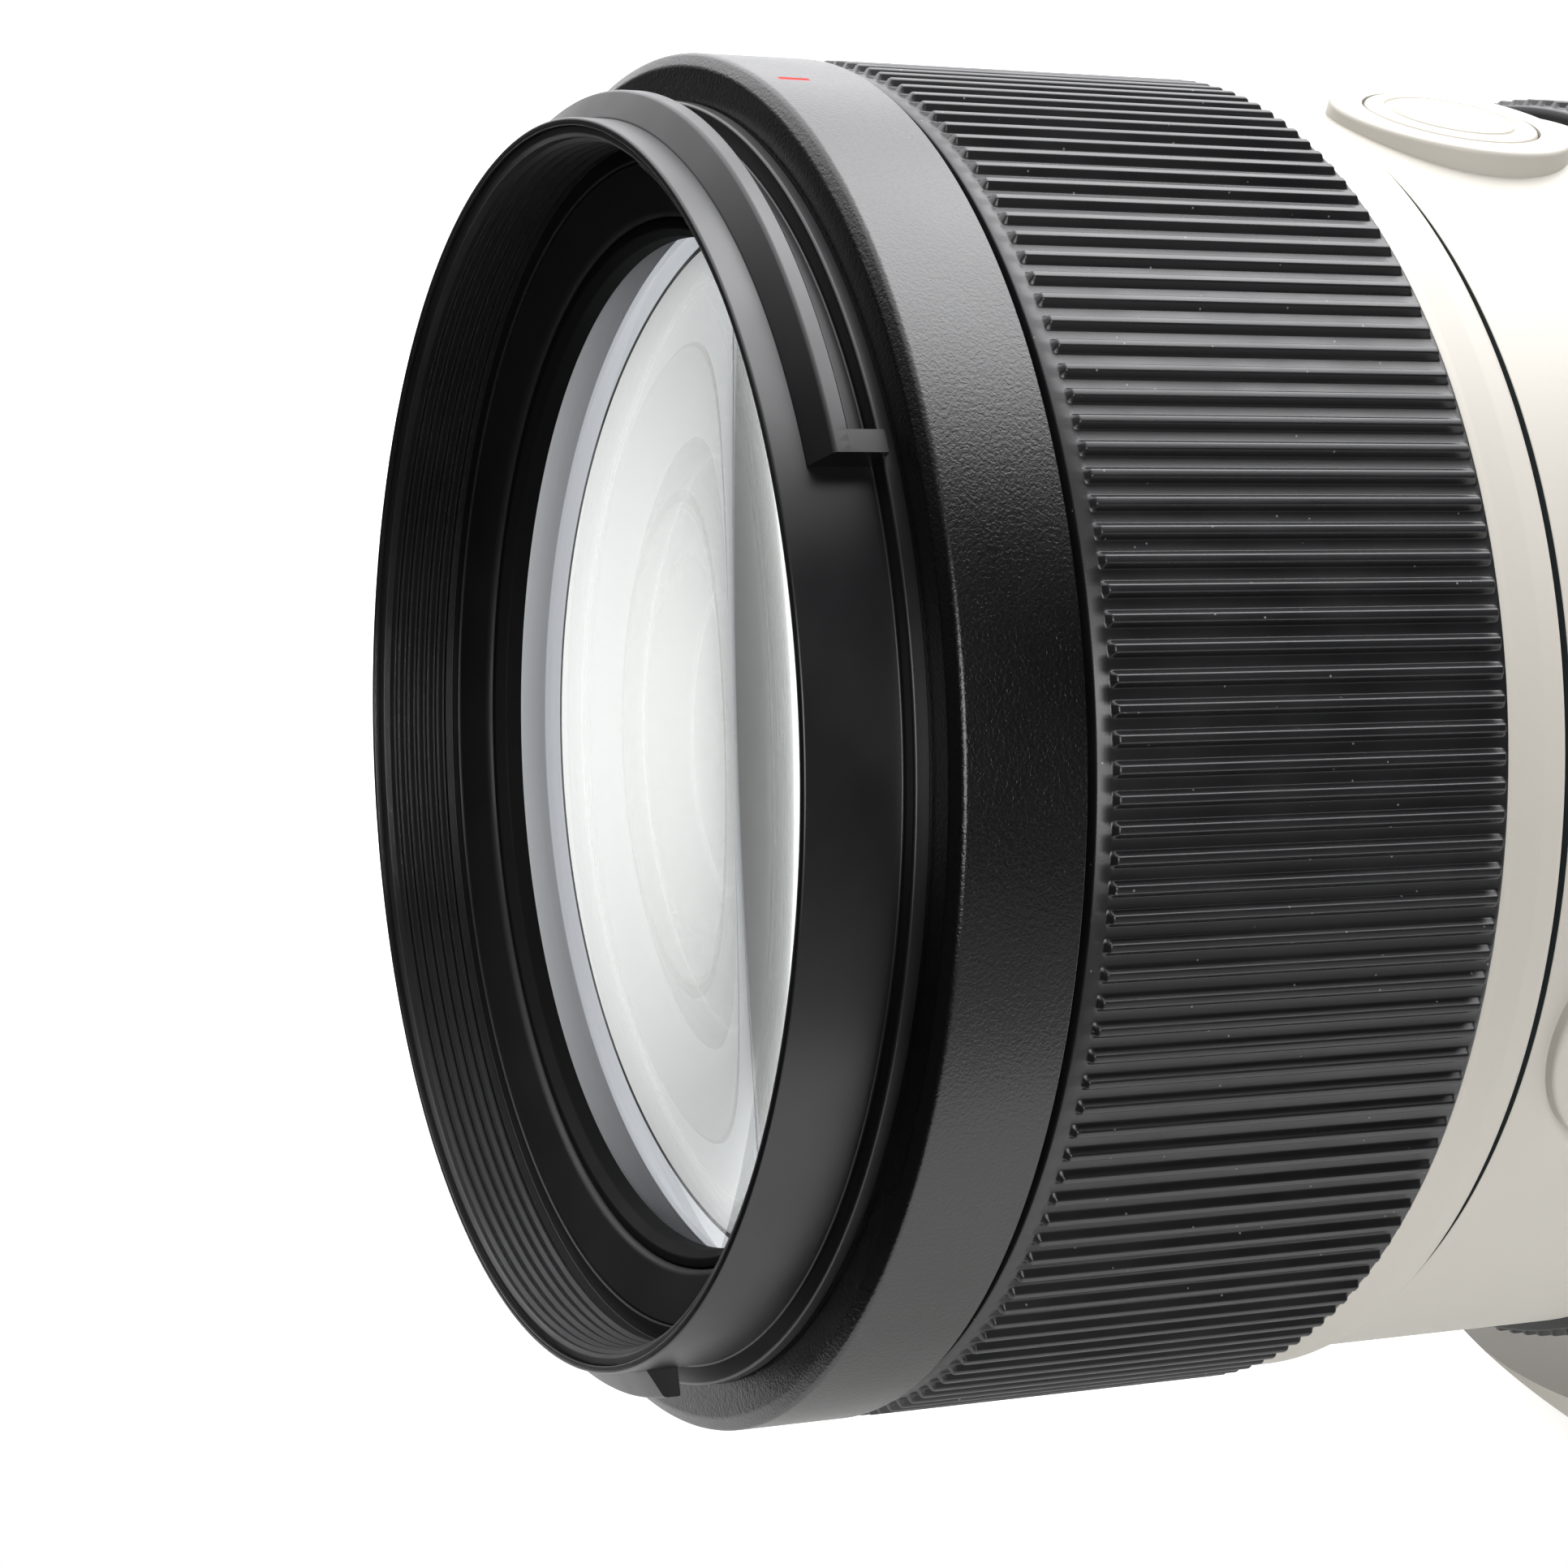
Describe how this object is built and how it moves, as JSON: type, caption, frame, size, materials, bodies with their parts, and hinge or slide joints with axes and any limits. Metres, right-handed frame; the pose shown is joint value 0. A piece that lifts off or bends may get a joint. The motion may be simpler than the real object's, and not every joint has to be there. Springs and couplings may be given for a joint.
{
  "type": "camera zoom lens",
  "caption": "Internal-zoom telephoto lens with ribbed focus and zoom rings, focus-hold buttons, slide switches, a rotating tripod collar with foot, and a bayonet camera mount.",
  "frame": {"origin": "centre of the camera flange, on the optical axis, in the plane of the flange's seat", "axes": "+Y along the optical axis towards the camera, so the front rim faces -Y; +Z is the top of the lens with the tripod foot below; +X is the photographer's left, the side with the switches"},
  "size_m": [0.1066, 0.2065, 0.1094],
  "materials": {
    "white_enamel": "satin",
    "button_plastic": "satin",
    "black_satin_metal": "satin",
    "black_anodised": "matte",
    "black_plastic": "satin",
    "grip_rubber": "matte",
    "optical_glass": "polished",
    "machined_aluminium": "satin",
    "steel": "satin",
    "chromed_mount": "satin",
    "blade_steel": "matte",
    "gold_contacts": "polished",
    "red_enamel": "satin"
  },
  "bodies": {
    "barrel": {"front_barrel": "white_enamel", "focus_end_ring": "white_enamel", "rear_barrel": "white_enamel", "rear_cone": "white_enamel", "index_ring": "black_satin_metal", "filter_ring": "black_anodised", "front_retainer": "black_anodised", "main_barrel": "black_anodised", "guide_tube": "black_anodised", "hood_bayonet_ring": "black_plastic", "front_trim_ring": "black_plastic", "front_cell": "black_plastic", "iris_housing": "black_plastic", "stabiliser_frame": "black_plastic", "rear_cell": "black_plastic", "contact_block": "black_plastic", "rear_baffle": "black_plastic", "switch_panel": "black_plastic", "mount_gasket": "grip_rubber", "front_element": "optical_glass", "rear_element": "optical_glass", "focus_rods": "steel", "focus_motor": "steel", "mount_screws": "steel", "lens_mount": "chromed_mount", "contact_pins": "gold_contacts", "hood_index_mark": "red_enamel"},
    "focus_ring": {"focus_ring_rubber": "grip_rubber", "focus_ring_sleeve": "black_anodised"},
    "zoom_ring": {"zoom_ring_sleeve": "white_enamel", "zoom_ring_rubber": "grip_rubber", "cam_sleeve": "machined_aluminium"},
    "zoom_group": {"zoom_carriage": "black_anodised", "zoom_rollers": "steel", "zoom_lens": "optical_glass"},
    "iris_drive": {"iris_drive_ring": "black_anodised"},
    "stabiliser_cross_slide": {"stabiliser_slider": "black_plastic"},
    "stabiliser_group": {"stabiliser_cell": "black_plastic", "stabiliser_lens": "optical_glass"},
    "focus_group": {"focus_carriage": "black_plastic", "focus_lens": "optical_glass"},
    "collar": {"tripod_collar": "white_enamel", "tripod_foot": "white_enamel", "foot_screws": "steel", "foot_inserts": "steel"},
    "knob": {"collar_knob": "black_satin_metal"},
    "blade_1": {"iris_blade_1": "blade_steel"},
    "blade_2": {"iris_blade_2": "blade_steel"},
    "blade_3": {"iris_blade_3": "blade_steel"},
    "blade_4": {"iris_blade_4": "blade_steel"},
    "blade_5": {"iris_blade_5": "blade_steel"},
    "blade_6": {"iris_blade_6": "blade_steel"},
    "blade_7": {"iris_blade_7": "blade_steel"},
    "button_top": {"focus_hold_button_top": "button_plastic"},
    "button_left": {"focus_hold_button_left": "button_plastic"},
    "button_bottom": {"focus_hold_button_bottom": "button_plastic"},
    "focus_mode_selector": {"focus_mode_switch": "black_plastic"},
    "focus_range_selector": {"focus_range_switch": "black_plastic"},
    "stabiliser_selector": {"stabiliser_switch": "black_plastic"},
    "stabiliser_mode_selector": {"stabiliser_mode_switch": "black_plastic"}
  },
  "joints": [
    {"name": "focus_ring_turn", "type": "hinge", "parent": "barrel", "child": "focus_ring", "pos_m": [0, -0.171, 0], "axis": [0, 1, 0], "continuous": true},
    {"name": "zoom_ring_turn", "type": "hinge", "parent": "barrel", "child": "zoom_ring", "pos_m": [0, -0.112, 0], "axis": [0, 1, 0], "range_deg": [0, 70]},
    {"name": "zoom_group_slide", "type": "slide", "parent": "barrel", "child": "zoom_group", "axis": [0, 1, 0], "range_m": [0, 0.028]},
    {"name": "iris_drive_turn", "type": "hinge", "parent": "barrel", "child": "iris_drive", "pos_m": [0, -0.0827, 0], "axis": [0, 1, 0], "range_deg": [0, 4.81]},
    {"name": "stabiliser_cross_shift", "type": "slide", "parent": "barrel", "child": "stabiliser_cross_slide", "axis": [1, 0, 0], "range_m": [-0.0008, 0.0008]},
    {"name": "stabiliser_up_shift", "type": "slide", "parent": "stabiliser_cross_slide", "child": "stabiliser_group", "axis": [0, 0, 1], "range_m": [-0.0008, 0.0008]},
    {"name": "focus_group_slide", "type": "slide", "parent": "barrel", "child": "focus_group", "axis": [0, 1, 0], "range_m": [-0.004, 0.012]},
    {"name": "collar_turn", "type": "hinge", "parent": "barrel", "child": "collar", "pos_m": [0, -0.045, 0], "axis": [0, 1, 0], "continuous": true},
    {"name": "collar_knob_turn", "type": "hinge", "parent": "collar", "child": "knob", "pos_m": [-0.055, -0.045, 0], "axis": [-1, 0, 0], "range_deg": [0, 330]},
    {"name": "blade_1_swing", "type": "hinge", "parent": "barrel", "child": "blade_1", "pos_m": [0, -0.0852, 0.029], "axis": [0, 1, 0], "range_deg": [0, 33]},
    {"name": "blade_2_swing", "type": "hinge", "parent": "barrel", "child": "blade_2", "pos_m": [0.02267, -0.0852, 0.01808], "axis": [0, 1, 0], "range_deg": [0, 33]},
    {"name": "blade_3_swing", "type": "hinge", "parent": "barrel", "child": "blade_3", "pos_m": [0.02827, -0.0852, -0.00645], "axis": [0, 1, 0], "range_deg": [0, 33]},
    {"name": "blade_4_swing", "type": "hinge", "parent": "barrel", "child": "blade_4", "pos_m": [0.01258, -0.0852, -0.02613], "axis": [0, 1, 0], "range_deg": [0, 33]},
    {"name": "blade_5_swing", "type": "hinge", "parent": "barrel", "child": "blade_5", "pos_m": [-0.01258, -0.0852, -0.02613], "axis": [0, 1, 0], "range_deg": [0, 33]},
    {"name": "blade_6_swing", "type": "hinge", "parent": "barrel", "child": "blade_6", "pos_m": [-0.02827, -0.0852, -0.00645], "axis": [0, 1, 0], "range_deg": [0, 33]},
    {"name": "blade_7_swing", "type": "hinge", "parent": "barrel", "child": "blade_7", "pos_m": [-0.02267, -0.0852, 0.01808], "axis": [0, 1, 0], "range_deg": [0, 33]},
    {"name": "button_top_press", "type": "slide", "parent": "barrel", "child": "button_top", "axis": [0, 0, -1], "range_m": [0, 0.0005], "stiffness_N_per_m": 1500, "springref_m": -0.0005},
    {"name": "button_left_press", "type": "slide", "parent": "barrel", "child": "button_left", "axis": [-0.9998, 0, 0.0209], "range_m": [0, 0.0005], "stiffness_N_per_m": 1500, "springref_m": -0.0005},
    {"name": "button_bottom_press", "type": "slide", "parent": "barrel", "child": "button_bottom", "axis": [0, 0, 1], "range_m": [0, 0.0005], "stiffness_N_per_m": 1500, "springref_m": -0.0005},
    {"name": "focus_mode_switch_slide", "type": "slide", "parent": "barrel", "child": "focus_mode_selector", "axis": [0, 1, 0], "range_m": [0, 0.003]},
    {"name": "focus_range_switch_slide", "type": "slide", "parent": "barrel", "child": "focus_range_selector", "axis": [0, 1, 0], "range_m": [0, 0.003]},
    {"name": "stabiliser_switch_slide", "type": "slide", "parent": "barrel", "child": "stabiliser_selector", "axis": [0, 1, 0], "range_m": [0, 0.003]},
    {"name": "stabiliser_mode_switch_slide", "type": "slide", "parent": "barrel", "child": "stabiliser_mode_selector", "axis": [0, 1, 0], "range_m": [0, 0.003]}
  ],
  "couplings": [
    {"joint": "zoom_group_slide", "follows": "zoom_ring_turn", "m_per_rad": 0.022918},
    {"joint": "blade_1_swing", "follows": "iris_drive_turn", "ratio": 6.8572},
    {"joint": "blade_2_swing", "follows": "iris_drive_turn", "ratio": 6.8572},
    {"joint": "blade_3_swing", "follows": "iris_drive_turn", "ratio": 6.8572},
    {"joint": "blade_4_swing", "follows": "iris_drive_turn", "ratio": 6.8572},
    {"joint": "blade_5_swing", "follows": "iris_drive_turn", "ratio": 6.8572},
    {"joint": "blade_6_swing", "follows": "iris_drive_turn", "ratio": 6.8572},
    {"joint": "blade_7_swing", "follows": "iris_drive_turn", "ratio": 6.8572}
  ]
}
